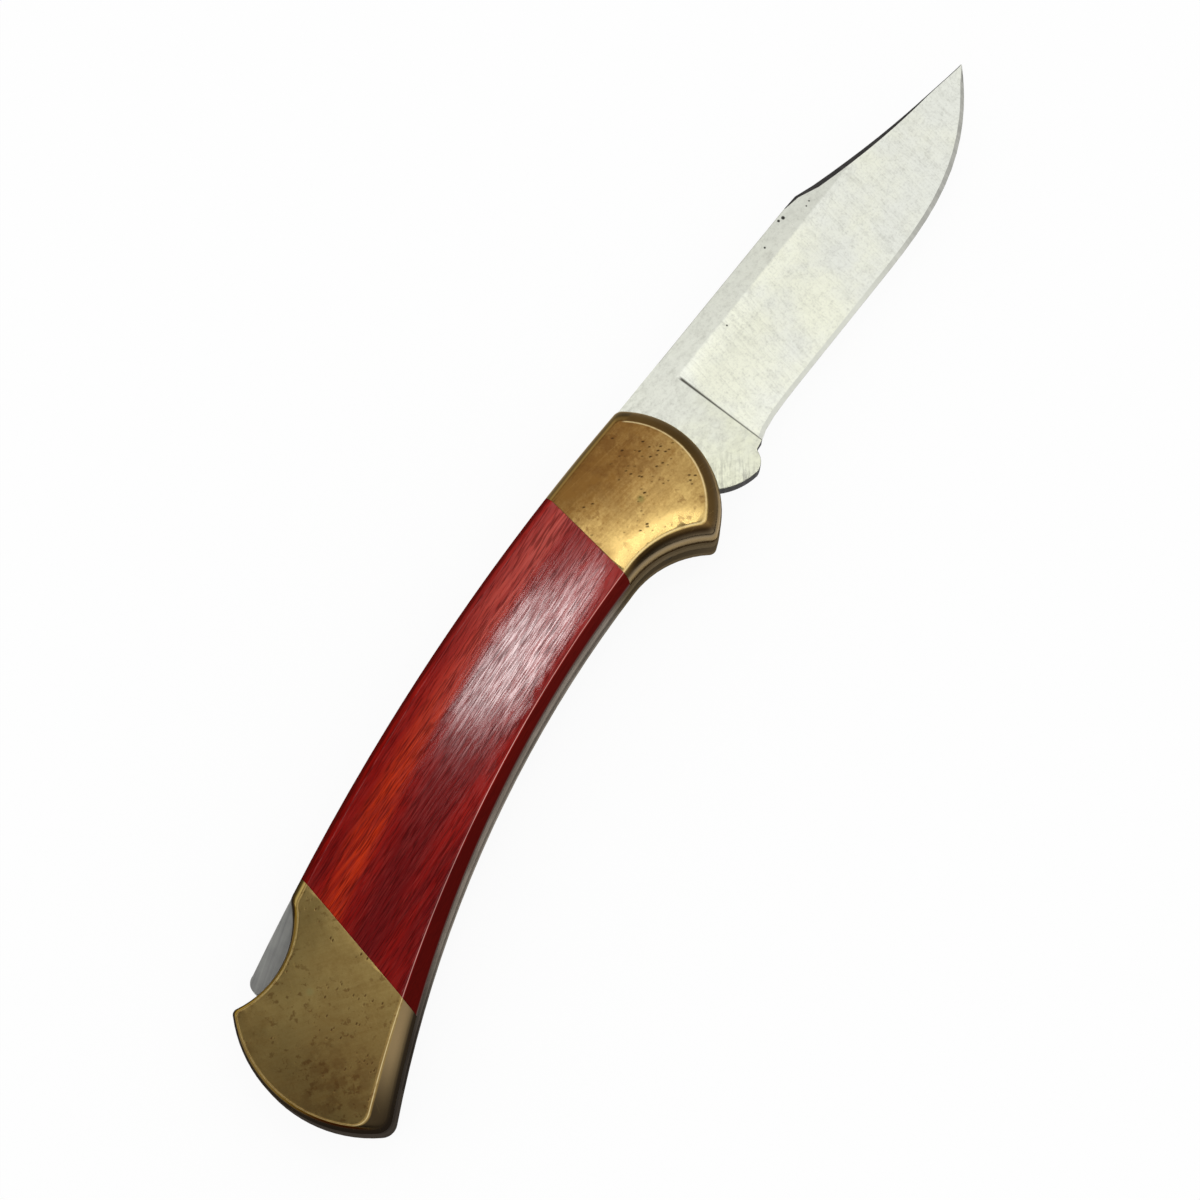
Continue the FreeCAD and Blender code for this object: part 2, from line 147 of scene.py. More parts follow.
# The handle's outline in millimetres from the pivot; its sides and their finishes both use it
handle = {
    "backHeight": 13.35, "backRadius": 400.0, "backCrest": 1.0,
    "frontReach": 13.8, "frontRadius": 16.6, "frontRise": 2.5,
    "grooveBack": 11.2, "grooveDepth": 7.0, "grooveRadius": 16.5,
    "bellyRadius": 205.0, "bellyLean": 1.2,
    "rearX": -111.0, "rearRadius": 22.0, "rearDrop": 4.85,
    "notchRadius": 15.2, "notchDepth": 3.05, "notchFromEnd": 13.7,
    "notchCorner": 2.0, "flareCorner": 1.0, "buttCorner": 2.5, "quillonCorner": 1.3, "frontCorner": 1.8,
    "arcSteps": (56, 20, 32, 48, 24, 28), "cornerSteps": 7,
}
# Its sides in section, in millimetres from the middle of the knife's thickness
section = {
    "middle": 7.5, "face": (7.2, 7.3), "creaseIn": (7.13, 7.19), "creaseOut": (7.24, 7.27),
    "thread": (7.19, 7.225), "bevel": (6.95, 7.15), "lip": (6.3, 6.85), "wall": (5.3, 6.6),
    "foot": (3.3, 4.6), "back": (2.3, 3.0),
}


def sectionHeight(place):
    height = place.axis(2) - section["middle"] * mm
    return height.math("ABSOLUTE", height)


def between(wire, part):
    return wire.past(*section[part])


def underBack(place):
    # distance below the back of the handle
    ahead = place.axis(0) + handle["backCrest"] * mm
    curve = ahead * ahead * (0.5 / (handle["backRadius"] * mm))
    return handle["backHeight"] * mm - curve - place.axis(1)


# Aged brass of the bolsters: olive gold, brown mottling, painted shade on the bevels and walls, a painted
# highlight along the crease, small pits, fine scratches
brassWear = {
    "cloud": (85.0, 3.0, 0.55), "blotch": (420.0, 5.0, 0.65), "fleck": (2300.0, 3.0, 0.7),
    "brush": (160.0, 1500.0, 300.0), "streak": (1.0, 3.0, 0.6),
    "cloudShare": 0.6, "blotchShare": 0.5, "streakShare": 0.3, "fleckShare": 0.35,
    "upper": (3.0, 13.0), "upperSide": (5.0, 9.0), "patchInner": 2.0,
    "speckGrain": (3.0, 0.6), "speckIn": (0.55, 0.66), "speckWhere": (0.36, 0.56),
    "stainIn": (0.42, 0.62), "greenSize": (0.2, 0.9), "greenGain": 0.6,
    "creaseIn": (0.35, 0.55), "lipGain": 0.85, "wallGain": 0.95,
    "pitStretch": (1.0, 1.9, 1.0), "pitCells": 780.0, "pitSize": (0.1, 0.3), "pitGain": 0.85,
    "pitField": (300.0, 1.0), "pitDraw": 0.13, "pitPick": (0.58, 0.66),
    "scratchBrush": (45.0, 5200.0, 300.0), "scratchIn": (0.70, 0.75), "scratchGain": 0.1,
    "bump": (0.03, 0.6),
}


def agedBrass(name, look):
    wear = brassWear
    material, place = startFinish(name)
    shifted = place.turned(look["brushAngle"], (1.0, 1.0, 1.0), look["shift"])
    cloud = shifted.noise(*wear["cloud"])
    blotch = shifted.noise(*wear["blotch"])
    fleck = shifted.noise(*wear["fleck"])
    streak = place.turned(look["brushAngle"], wear["brush"], look["shift"]).noise(*wear["streak"])
    # the face is lighter near the choil and joint, partly wear and partly a painted highlight; rim adds a
    # painted highlight band along the choil; upper is painted shade darkening the face towards the back edge
    wearAndHighlight = place.near(look["wearHighlightAt"], *look["wearHighlightSize"]) * look["wearHighlightGain"]
    rim = place.near(look["rimAt"], *look["rimSize"]) * look["rimGain"]
    depth = underBack(place)
    upper = (1.0 - depth.past(*wear["upper"])) * look["upperLoss"]
    grain = cloud * wear["cloudShare"] + blotch * wear["blotchShare"]
    grain = grain + streak * wear["streakShare"] + fleck * wear["fleckShare"]
    tone = (grain + wearAndHighlight + rim - upper).rise(*look["tone"])
    colour = tone.blend(look["tarnish"], look["bright"])
    specks = shifted.noise(look["speckScale"], *wear["speckGrain"]).rise(*wear["speckIn"])
    specks = specks * cloud.rise(*wear["speckWhere"])
    colour = (specks * look["speckGain"]).blend(colour, look["stain"])
    stained = place.near(look["stainAt"], wear["patchInner"], look["stainOuter"])
    stained = stained * (0.3 + 0.7 * blotch.rise(*wear["stainIn"]))
    colour = (stained * look["stainGain"]).blend(colour, look["stain"])
    green = place.near(look["greenAt"], *wear["greenSize"])
    colour = (green * wear["greenGain"]).blend(colour, look["green"])
    # the crease is lighter, partly a worn edge and partly a painted highlight; the bevel, the lower edge at
    # the back and the walls get painted shade; along the back the bevel stays like the face
    lift = sectionHeight(place)
    back = 1.0 - between(depth, "back")
    # painted highlight on the crease, partly a worn edge, left off along the back
    crease = between(lift, "creaseIn") * (1.0 - between(lift, look["creaseEnd"])) * (1.0 - back)
    crease = crease * (0.5 + 0.5 * blotch.rise(*wear["creaseIn"]))
    colour = (crease * look["creaseGain"]).blend(colour, look["crease"])
    # painted shade on the bevel, darkest near the finger groove or the butt corner
    low = place.near(look["lowAt"], *look["lowSize"])
    shade = back.blend(low.blend(look["bevel"], look["lowBevel"]), look["backBevel"])
    bevel = (1.0 - between(lift, "bevel")) * (1.05 + 0.4 * (blotch - 0.5))
    colour = bevel.blend(colour, shade)
    # painted shade along the lower edge of the bevel at the back
    lip = (1.0 - between(lift, "lip")) * back
    colour = (lip * wear["lipGain"]).blend(colour, look["paintedShade"])
    # painted shade on the walls: the lower side's wall takes the dark shade colour, and the rear bolster's
    # wall colour is near-black painted shade too
    wall = 1.0 - between(lift, "wall")
    upperSide = place.axis(2).past(*wear["upperSide"])
    colour = (wall * wear["wallGain"]).blend(colour, upperSide.blend(look["paintedShade"], look["wall"]))
    metallic = 1.0 - wall * (1.0 - upperSide * look["wallShine"])
    pitSpace = place.turned(look["pitAngle"], wear["pitStretch"], look["shift"])
    pitted = place.near(look["pittedAt"], wear["patchInner"], look["pittedOuter"])
    pick = (shifted.noise(*wear["pitField"]) + pitted * wear["pitDraw"]).rise(*wear["pitPick"])
    pits = (1.0 - pitSpace.cells(wear["pitCells"]).rise(*wear["pitSize"])) * pick * between(lift, "face")
    colour = (pits * wear["pitGain"]).blend(colour, look["pit"])
    scratch = place.turned(look["scratchAngle"], wear["scratchBrush"]).noise(1.0, 1.0)
    scratch = scratch.rise(*wear["scratchIn"])
    colour = (scratch * wear["scratchGain"]).blend(colour, look["bright"])
    roughness = look["roughness"] + (1.0 - tone) * 0.12 + pits * 0.25 + (blotch - 0.5) * 0.15
    height = 0.2 * streak - pits * 0.9 - scratch * 0.1 + blotch * 0.1 + fleck * 0.2
    plain = {"IOR": 1.0, "Specular Tint": (*look["edgeOn"], 1.0)}
    return newFinish(material, plain, {
        "Base Color": colour, "Roughness": roughness, "Metallic": metallic,
        "Normal": height.bump(*wear["bump"])})


frontBrass = agedBrass("front_bolster_brass", {
    "bright": (0.74, 0.525, 0.19), "tarnish": (0.25, 0.125, 0.031), "stain": (0.16, 0.066, 0.016),
    "crease": (0.94, 0.76, 0.40), "creaseGain": 0.6, "creaseEnd": "creaseOut",
    "bevel": (0.19, 0.112, 0.038), "lowBevel": (0.03, 0.016, 0.006), "backBevel": (0.29, 0.18, 0.055),
    "wall": (0.30, 0.23, 0.14), "paintedShade": (0.06, 0.042, 0.021), "wallShine": 1.0, "edgeOn": (0.8, 0.68, 0.5),
    "pit": (0.07, 0.035, 0.012), "green": (0.17, 0.16, 0.045), "greenAt": (-0.2, 0.3),
    "wearHighlightAt": (-7.5, -7.0), "wearHighlightSize": (1.0, 11.0), "wearHighlightGain": 0.3,
    "rimAt": (-9.41, -22.44), "rimSize": (18.0, 21.5), "rimGain": 0.45, "upperLoss": 0.25,
    "lowAt": (-9.41, -22.44), "lowSize": (16.4, 17.6),
    "speckScale": 700.0, "speckGain": 0.5, "tone": (0.5, 1.3),
    "stainAt": (4.0, 8.5), "stainOuter": 16.0, "stainGain": 0.75,
    "pittedAt": (4.8, 3.8), "pittedOuter": 7.5,
    "brushAngle": 5.0, "pitAngle": 40.0, "scratchAngle": 8.0,
    "roughness": 0.27, "shift": (0.02, 0.01, 0.0)})
rearBrass = agedBrass("rear_bolster_brass", {
    "bright": (0.45, 0.32, 0.113), "tarnish": (0.26, 0.155, 0.045), "stain": (0.14, 0.06, 0.015),
    "crease": (0.95, 0.80, 0.45), "creaseGain": 0.6, "creaseEnd": "thread",
    "bevel": (0.29, 0.205, 0.10), "lowBevel": (0.05, 0.034, 0.017), "backBevel": (0.5, 0.36, 0.13),
    "wall": (0.014, 0.010, 0.007), "paintedShade": (0.012, 0.009, 0.006), "wallShine": 0.0,
    "edgeOn": (0.4, 0.33, 0.22),
    "pit": (0.09, 0.045, 0.015), "green": (0.4, 0.34, 0.13), "greenAt": (-95.0, -8.0),
    "wearHighlightAt": (-88.0, 0.0), "wearHighlightSize": (1.0, 16.0), "wearHighlightGain": 0.15,
    "rimAt": (-84.0, -14.5), "rimSize": (0.5, 5.0), "rimGain": 0.1, "upperLoss": 0.0,
    "lowAt": (-109.0, -28.0), "lowSize": (5.0, 17.0),
    "speckScale": 900.0, "speckGain": 0.55, "tone": (0.5, 1.2),
    "stainAt": (-104.0, -20.0), "stainOuter": 14.0, "stainGain": 0.65,
    "pittedAt": (-97.0, -17.0), "pittedOuter": 10.0,
    "brushAngle": 35.0, "pitAngle": -10.0, "scratchAngle": -60.0,
    "roughness": 0.28, "shift": (-0.03, 0.02, 0.0)})


# Red-dyed hardwood, lacquered on its face: lengthwise bands, an orange streak, short dark pores
def dyedWood(name, look):
    material, place = startFinish(name)
    bands = place.turned(look["grainAngle"], look["bandGrain"]).noise(1.0, 4.0, 0.55, 0.5)
    fibres = place.turned(look["grainAngle"], look["fibreGrain"]).noise(1.0, 4.0, 0.7)
    strands = place.turned(look["strandAngle"], look["strandGrain"]).noise(1.0, 3.0, 0.65)
    pores = place.turned(look["poreAngle"], look["poreGrain"]).noise(1.0, 2.0).rise(*look["poreIn"])
    colour = (bands * 0.8 + fibres * 0.35).rise(*look["tone"]).blend(look["dark"], look["red"])
    along = place.axis(0)
    # distance from the bent middle line of the handle, positive towards the back
    across = place.axis(1) + along * look["midSlope"] + along * along * look["midBend"] - look["midRise"] * mm
    across = across + (bands - 0.5) * (look["bandSway"] * mm)
    rear = 1.0 - along.past(*look["rear"])
    front = along.past(*look["front"])
    streak = across.past(*look["streakLow"]) * (1.0 - across.past(*look["streakHigh"]))
    streak = streak * (0.3 + 0.7 * fibres.rise(0.35, 0.65)) * (0.8 + 0.2 * rear)
    colour = (streak * look["streakGain"]).blend(colour, front.blend(look["orange"], look["faded"]))
    # lighter rosy wood towards the front, partly the wood's colour and partly painted sheen where the lamp's
    # reflection falls
    colour = (front * look["rosyAndSheenGain"]).blend(colour, look["rosyAndSheen"])
    heart = across.past(*look["heartLow"]) * (1.0 - across.past(*look["heartHigh"])) * rear
    colour = (heart * look["heartGain"]).blend(colour, look["dark"])
    colour = (pores * look["poreGain"]).blend(colour, look["pore"])
    colour = (strands.rise(0.5, 0.72) * look["lightGain"]).blend(colour, look["light"])
    # painted shade darkens the belly bevel and the lower edge along the back; the belly crease is pale,
    # partly worn lacquer and partly a painted highlight
    lift = sectionHeight(place)
    shadedBevel = 1.0 - between(lift, "bevel")
    belly = 1.0 - across.past(*look["belly"])
    lip = (1.0 - between(lift, "lip")) * (1.0 - belly)
    colour = (shadedBevel * belly * look["shadedBevelGain"] + lip * look["lipGain"]).blend(colour, look["under"])
    foot = 1.0 - between(lift, "foot")
    colour = (foot * look["footGain"]).blend(colour, look["wall"])
    # painted highlight along the belly crease, partly worn lacquer, on the belly side only
    crease = between(lift, "creaseIn") * (1.0 - between(lift, "thread")) * belly
    crease = crease * (0.55 + 0.45 * bands.rise(0.4, 0.6))
    colour = (crease * look["creaseGain"]).blend(colour, look["wornEdgeAndHighlight"])
    lacquer = between(lift, "face") * (0.25 + 0.6 * strands.rise(0.40, 0.64)) * (1.0 - pores * 0.5)
    height = strands * 0.6 - pores * 0.6
    roughness = look["roughness"] + fibres * 0.2
    plain = {"IOR": 1.0, "Coat Roughness": look["lacquerRough"], "Coat IOR": look["lacquerIor"]}
    return newFinish(material, plain, {
        "Base Color": colour, "Roughness": roughness, "Coat Weight": lacquer,
        "Normal": height.bump(*look["bump"])})


redWood = dyedWood("dyed_red_wood", {
    "dark": (0.10, 0.003, 0.004), "red": (0.27, 0.006, 0.003), "orange": (0.50, 0.032, 0.004),
    "faded": (0.60, 0.12, 0.085), "rosyAndSheen": (0.48, 0.045, 0.036), "light": (0.34, 0.02, 0.012),
    "pore": (0.035, 0.002, 0.002), "wornEdgeAndHighlight": (0.9, 0.5, 0.44), "wall": (0.12, 0.095, 0.082),
    "under": (0.062, 0.004, 0.003),
    "grainAngle": -1.0, "bandGrain": (11.0, 130.0, 130.0), "fibreGrain": (85.0, 2500.0, 2500.0),
    "strandAngle": -5.0, "strandGrain": (250.0, 4900.0, 4900.0),
    "poreAngle": -7.0, "poreGrain": (250.0, 5000.0, 5000.0), "poreIn": (0.49, 0.61), "poreGain": 0.55,
    "tone": (0.40, 0.80), "lightGain": 0.3, "bandSway": 5.0,
    "midRise": 3.38, "midSlope": 0.0063, "midBend": 1.64,
    "rear": (-75.0, -25.0), "front": (-62.0, -14.0), "rosyAndSheenGain": 0.36,
    "streakLow": (2.4, 4.4), "streakHigh": (4.9, 8.9), "streakGain": 0.9,
    "heartLow": (-6.5, -3.0), "heartHigh": (-0.5, 2.5), "heartGain": 0.8,
    "belly": (-2.0, 0.0), "shadedBevelGain": 0.85, "lipGain": 0.8, "footGain": 0.9, "creaseGain": 0.9,
    "roughness": 0.35, "lacquerRough": 0.095, "lacquerIor": 1.7, "bump": (0.02, 0.5)})


# Satin stainless blade: grinding marks across it, a greyer flat band, a few dark pits
def satinBlade(name, look):
    material, place = startFinish(name)
    marks = place.turned(look["markAngle"], look["markBrush"]).noise(1.0, 4.0, 0.65, 1.4)
    drawn = place.turned(look["drawnAngle"], look["drawnBrush"]).noise(1.0, 4.0, 0.65)
    speckle = place.noise(*look["speckle"])
    mottle = place.noise(*look["mottle"])
    cloud = place.noise(*look["cloud"])
    along = place.axis(0)
    upright = place.axis(1)
    plunge = look["plungeAt"]
    bandAt = look["bandAt"]
    band = upright.past(bandAt - 0.25, bandAt + 0.25)
    tang = 1.0 - along.past(plunge - 0.1, plunge + 0.1)
    flat = band.math("MAXIMUM", band, tang)
    shade = (1.0 - flat) * marks + flat * drawn
    colour = cloud.rise(0.35, 0.7).blend(look["ground"], look["yellowed"])
    lower = 1.0 - upright.past(*look["lower"])
    flatColour = (lower * cloud.rise(0.3, 0.6)).blend(look["flat"], look["tang"])
    colour = (flat * look["flatGain"]).blend(colour, flatColour)
    marked = shade.rise(0.42, 0.75) * 0.2 + speckle.rise(0.45, 0.72) * 0.2 + mottle.rise(0.45, 0.7) * 0.14
    colour = marked.blend(colour, look["mark"])
    # rubbed strokes on the kick, and a painted shade line in the corner where the grind starts
    strokes = place.turned(look["strokeAngle"], look["strokeBrush"]).noise(1.0, 4.0, 0.7).rise(0.47, 0.62)
    kick = place.near(look["kickAt"], *look["kickSize"])
    colour = (strokes * kick * look["strokeGain"]).blend(colour, look["mark"])
    corner = along.past(plunge - 0.25, plunge) * (1.0 - along.past(plunge + 0.2, plunge + 0.55))
    corner = corner * (1.0 - upright.past(bandAt - 1.0, bandAt))
    colour = (corner * look["darkenGain"]).blend(colour, look["cornerShade"])
    spots = None
    for spot, reach in look["pits"]:
        found = place.near(spot, reach * 0.3, reach)
        spots = found if spots is None else spots + found
    colour = (spots.rise(0.1, 0.7) * look["pitGain"]).blend(colour, look["pit"])
    roughness = look["roughness"] + (shade - 0.5) * 0.2 + spots * 0.3 + (speckle - 0.5) * 0.1
    height = shade * 0.3 + speckle * 0.25 - spots
    return newFinish(material, {"Metallic": 1.0}, {
        "Base Color": colour, "Roughness": roughness, "Normal": height.bump(*look["bump"])})


bladeSteel = satinBlade("satin_blade_steel", {
    "ground": (0.82, 0.835, 0.765), "yellowed": (0.885, 0.895, 0.745), "flat": (0.655, 0.665, 0.59),
    "tang": (0.68, 0.69, 0.535), "mark": (0.36, 0.36, 0.31), "cornerShade": (0.06, 0.055, 0.045),
    "pit": (0.02, 0.018, 0.015), "flatGain": 0.85, "strokeGain": 0.75, "darkenGain": 0.95, "pitGain": 0.93,
    "markAngle": 8.0, "markBrush": (1500.0, 140.0, 40.0),
    "drawnAngle": 12.0, "drawnBrush": (500.0, 1100.0, 100.0),
    "strokeAngle": -38.0, "strokeBrush": (150.0, 1500.0, 200.0),
    "speckle": (2400.0, 3.0, 0.7), "mottle": (600.0, 4.0, 0.65), "cloud": (70.0, 4.0, 0.6),
    "bandAt": 9.45, "plungeAt": 21.5, "lower": (-2.0, 8.0),
    "kickAt": (13.5, -8.6), "kickSize": (1.0, 6.0), "roughness": 0.32, "bump": (0.02, 0.5),
    "pits": [((54.5, 12.5), 0.45), ((53.6, 12.75), 0.34), ((59.6, 10.9), 0.2), ((58.6, 10.7), 0.2),
             ((48.4, 11.7), 0.26), ((33.7, 8.4), 0.22)]})


# Plain worn metals for the lock, liners, pins and the blade's smaller faces
def wornMetal(name, look):
    material, place = startFinish(name)
    streak = place.turned(look["brushAngle"], look["brush"]).noise(1.0, 3.0, 0.6)
    cloud = place.noise(220.0, 4.0, 0.6)
    tone = (streak * 0.6 + cloud * 0.5).rise(0.35, 0.8)
    colour = tone.blend(look["dark"], look["light"])
    height = streak * 0.5 + cloud * 0.3
    varying = {"Roughness": look["roughness"] + (1.0 - tone) * 0.15, "Normal": height.bump(0.02, 0.5)}
    edgeOn = look.get("edgeOn", (1.0, 1.0, 1.0))
    plain = {"Metallic": look.get("metallic", 1.0), "Specular Tint": (*edgeOn, 1.0)}
    if "paintedShade" in look:
        # dull with painted shade towards the butt; dull and brown under the finger groove
        along = place.axis(0)
        groove = along.past(*look["grooveFrom"])
        butt = 1.0 - along.past(*look["buttFrom"])
        colour = (groove * look["darkenGain"]).blend(colour, look["groove"])
        colour = (butt * look["darkenGain"]).blend(colour, look["paintedShade"])
        varying["Metallic"] = look["metallic"] * (1.0 - groove - butt)
        plain["IOR"] = 1.0
    if "bright" in look:
        # painted light and shade: the honed edge is lighter back from the point and darker where it curves up
        # to the point
        colour = (1.0 - place.axis(0).past(*look["brightTo"])).blend(colour, look["bright"])
    varying["Base Color"] = colour
    return newFinish(material, plain, varying)


# the clip grind and the tang's walls are painted near-black: painted shade standing in for dark reflections
clipGrindShade = wornMetal("clip_grind_painted_dark", {
    "dark": (0.03, 0.027, 0.026), "light": (0.05, 0.046, 0.044), "roughness": 0.45, "metallic": 0.5,
    "edgeOn": (0.4, 0.4, 0.4), "brushAngle": 8.0, "brush": (1500.0, 140.0, 40.0)})
edgeSteel = wornMetal("honed_edge_steel", {
    "dark": (0.42, 0.42, 0.385), "light": (0.56, 0.56, 0.51), "roughness": 0.34,
    "bright": (0.76, 0.77, 0.69), "brightTo": (50.0, 74.0),
    "brushAngle": 8.0, "brush": (1500.0, 140.0, 40.0)})
lockSteel = wornMetal("lock_bar_steel", {
    "dark": (0.30, 0.30, 0.29), "light": (0.43, 0.43, 0.405), "roughness": 0.42,
    "brushAngle": -20.0, "brush": (60.0, 1800.0, 200.0)})
springSteel = wornMetal("worn_spring_steel", {
    "dark": (0.30, 0.30, 0.31), "light": (0.46, 0.46, 0.47), "roughness": 0.35,
    "brushAngle": 5.0, "brush": (40.0, 1500.0, 200.0)})
pinSteel = wornMetal("worn_pin_steel", {
    "dark": (0.45, 0.45, 0.44), "light": (0.62, 0.62, 0.60), "roughness": 0.3,
    "brushAngle": 0.0, "brush": (400.0, 400.0, 900.0)})
pinBrass = wornMetal("worn_pin_brass", {
    "dark": (0.36, 0.29, 0.10), "light": (0.58, 0.49, 0.20), "roughness": 0.3,
    "brushAngle": 30.0, "brush": (500.0, 500.0, 300.0)})
linerMetal = wornMetal("worn_liner_metal", {
    "dark": (0.22, 0.188, 0.155), "light": (0.36, 0.31, 0.26), "roughness": 0.5, "metallic": 0.4,
    "edgeOn": (0.24, 0.22, 0.19), "paintedShade": (0.022, 0.016, 0.012), "groove": (0.105, 0.074, 0.034),
    "grooveFrom": (-20.0, -12.0), "buttFrom": (-92.0, -70.0), "darkenGain": 0.9,
    "brushAngle": 0.0, "brush": (50.0, 300.0, 1500.0)})
bronze = wornMetal("worn_bronze", {
    "dark": (0.36, 0.22, 0.09), "light": (0.55, 0.36, 0.16), "roughness": 0.38,
    "brushAngle": 0.0, "brush": (500.0, 500.0, 500.0)})
print("finishes made")

crispAngle = 35.0                # edges sharper than this stay crisp, in degrees


def addPiece(name, bm, body, node, finish, sharpAngle=crispAngle):
    bmesh.ops.recalc_face_normals(bm, faces=bm.faces)
    mesh = bpy.data.meshes.new(name)
    bm.to_mesh(mesh)
    bm.free()
    mesh.shade_smooth()
    mesh.set_sharp_from_angle(angle=math.radians(sharpAngle))
    mesh.materials.append(finish)
    piece = bpy.data.objects.new(name, mesh)
    bpy.context.scene.collection.objects.link(piece)
    even = piece.modifiers.new("even_shading", "WEIGHTED_NORMAL")
    even.keep_sharp = True
    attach(piece, body)
    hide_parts(node)
    return piece


# Handle sides: rings of arcs, bridged, eased, crowned, then cut at the two joints
sides = {
    "low": 10.65, "shoulder": 13.2, "top": 15.0, "crownDrop": 0.22,
    "wallStep": 0.12, "wallBelly": 0.45, "wallDraft": 0.3,
    "crease": {"back": 1.8, "notch": 1.1, "butt": 0.8, "front": 2.7, "belly": 2.05,
               "grooveBack": 9.9, "grooveRadius": 17.5, "bellyRadius": 243.0, "bellyLean": 1.6},
    "creaseEase": 0.28, "shoulderEase": 0.55, "easeSegments": 5,
    "crownReach": 7.0, "gridX": (-110, 14, 3), "gridY": (-29, 13, 2),
    "frontJoint": -10.85, "frontLean": 7.8, "rearJoint": -82.8, "rearLean": 11.5,
    "seamEase": 0.07,
}


def arcHeight(centre, radius, x, sign):
    return centre.y + sign * math.sqrt(radius ** 2 - (x - centre.x) ** 2)


def polar(radius, degrees):
    return Vector((radius * math.cos(math.radians(degrees)), radius * math.sin(math.radians(degrees))))


def meet(a, b, near):
    points = intersect_sphere_sphere_2d(a[0], a[1], b[0], b[1])
    return min(points, key=lambda point: (point - near).length)


def outlineArcs(back, notch, butt, front, belly, grooveBack, grooveRadius, bellyRadius, bellyLean):
    h = handle
    backCentre = Vector((-h["backCrest"], h["backHeight"] - h["backRadius"]))
    frontCentre = Vector((h["frontReach"] - h["frontRadius"], h["frontRise"]))
    hollowEnd = Vector((-h["grooveBack"], -h["grooveDepth"]))
    bellyCentre = hollowEnd + polar(h["bellyRadius"], h["bellyLean"] - 90.0)
    rearMid = h["rearX"] + h["rearRadius"]
    rearTop = arcHeight(backCentre, h["backRadius"], rearMid, 1)
    rearLow = arcHeight(bellyCentre, h["bellyRadius"], rearMid, 1)
    rearCentre = Vector((rearMid, (rearTop + rearLow) / 2 - h["rearDrop"]))
    notchX = h["rearX"] + h["notchFromEnd"]
    notchFloor = arcHeight(backCentre, h["backRadius"], notchX, 1) - h["notchDepth"]
    notchCentre = Vector((notchX, notchFloor + h["notchRadius"]))
    grooveEnd = Vector((-grooveBack, belly - h["grooveDepth"]))
    down = polar(1.0, bellyLean - 90.0)
    # centre, radius, and 1 for an arc that bulges out or -1 for a hollow
    arcs = [
        (backCentre, h["backRadius"] - back, 1),
        (notchCentre, h["notchRadius"] + notch, -1),
        (rearCentre, h["rearRadius"] - butt, 1),
        (grooveEnd + down * bellyRadius, bellyRadius, -1),
        (grooveEnd + down * grooveRadius, grooveRadius, -1),
        (frontCentre, h["frontRadius"] - front, 1),
    ]
    # rounding of the corner after each arc, and roughly where it is
    corners = [
        (h["notchCorner"], Vector((notchX + h["notchRadius"], h["backHeight"]))),
        (h["flareCorner"], Vector((h["rearX"], notchFloor))),
        (h["buttCorner"], Vector((rearMid - h["rearRadius"] / 2, rearCentre.y - h["rearRadius"]))),
        (0.0, grooveEnd),
        (h["quillonCorner"], Vector((0.0, -h["grooveDepth"] - h["grooveRadius"] / 2))),
        (h["frontCorner"], Vector((h["frontReach"], h["backHeight"]))),
    ]
    starts = []
    ends = []
    rounds = []
    for index, (rounding, near) in enumerate(corners):
        a = arcs[index]
        b = arcs[(index + 1) % len(arcs)]
        if rounding == 0.0:
            ends.append(near)
            starts.append(near)
            rounds.append(None)
            continue
        corner = meet(a, b, near)
        middle = meet((a[0], a[1] - a[2] * rounding), (b[0], b[1] - b[2] * rounding), corner)
        ends.append(a[0] + (middle - a[0]).normalized() * a[1])
        starts.append(b[0] + (middle - b[0]).normalized() * b[1])
        rounds.append(middle)
    # each turn: centre, where it starts, where it ends, steps
    turns = []
    for index, arc in enumerate(arcs):
        turns.append((arc[0], starts[index - 1], ends[index], h["arcSteps"][index]))
        if rounds[index] is not None:
            turns.append((rounds[index], ends[index], starts[index], h["cornerSteps"]))
    return turns


def drawRing(bm, turns, height):
    first = bm.verts.new((*turns[0][1], height))
    last = first
    made = [first]
    for centre, start, end, steps in turns:
        a = start - centre
        b = end - centre
        angle = math.atan2(a.x * b.y - a.y * b.x, a.dot(b))
        known = set(bm.verts)
        spun = bmesh.ops.spin(bm, geom=[last], cent=(*centre, height), axis=(0, 0, 1),
                              angle=angle, steps=steps)
        last = spun["geom_last"][0]
        made += [vert for vert in bm.verts if vert not in known]
    bmesh.ops.pointmerge(bm, verts=[first, last], merge_co=first.co)
    made = [vert for vert in made if vert.is_valid]
    return list({edge for vert in made for edge in vert.link_edges})


def sideBlock():
    s = sides
    bm = bmesh.new()
    wall = []
    for draft in (0.0, s["wallDraft"]):
        step = s["wallStep"] + draft
        low = s["wallBelly"] + draft
        wall.append(outlineArcs(step, step, step, step, low, handle["grooveBack"],
                                handle["grooveRadius"] + low, handle["bellyRadius"] + low,
                                handle["bellyLean"]))
    rings = [
        drawRing(bm, wall[0], s["low"]),
        drawRing(bm, wall[1], s["shoulder"]),
        drawRing(bm, outlineArcs(**s["crease"]), s["top"] - s["crownDrop"]),
    ]
    bmesh.ops.bridge_loops(bm, edges=rings[0] + rings[1])
    bmesh.ops.bridge_loops(bm, edges=rings[1] + rings[2])
    bmesh.ops.edgeloop_fill(bm, edges=rings[0])
    top = bmesh.ops.edgeloop_fill(bm, edges=rings[2])["faces"]
    bmesh.ops.recalc_face_normals(bm, faces=bm.faces)
    rim = [vert.co.copy() for vert in top[0].verts]
    for ring, ease in ((1, s["shoulderEase"]), (2, s["creaseEase"])):
        bmesh.ops.bevel(bm, geom=rings[ring], offset=ease, segments=s["easeSegments"], profile=0.5,
                        affect="EDGES", material=-1)
    crownFace(bm, rim)
    return bm


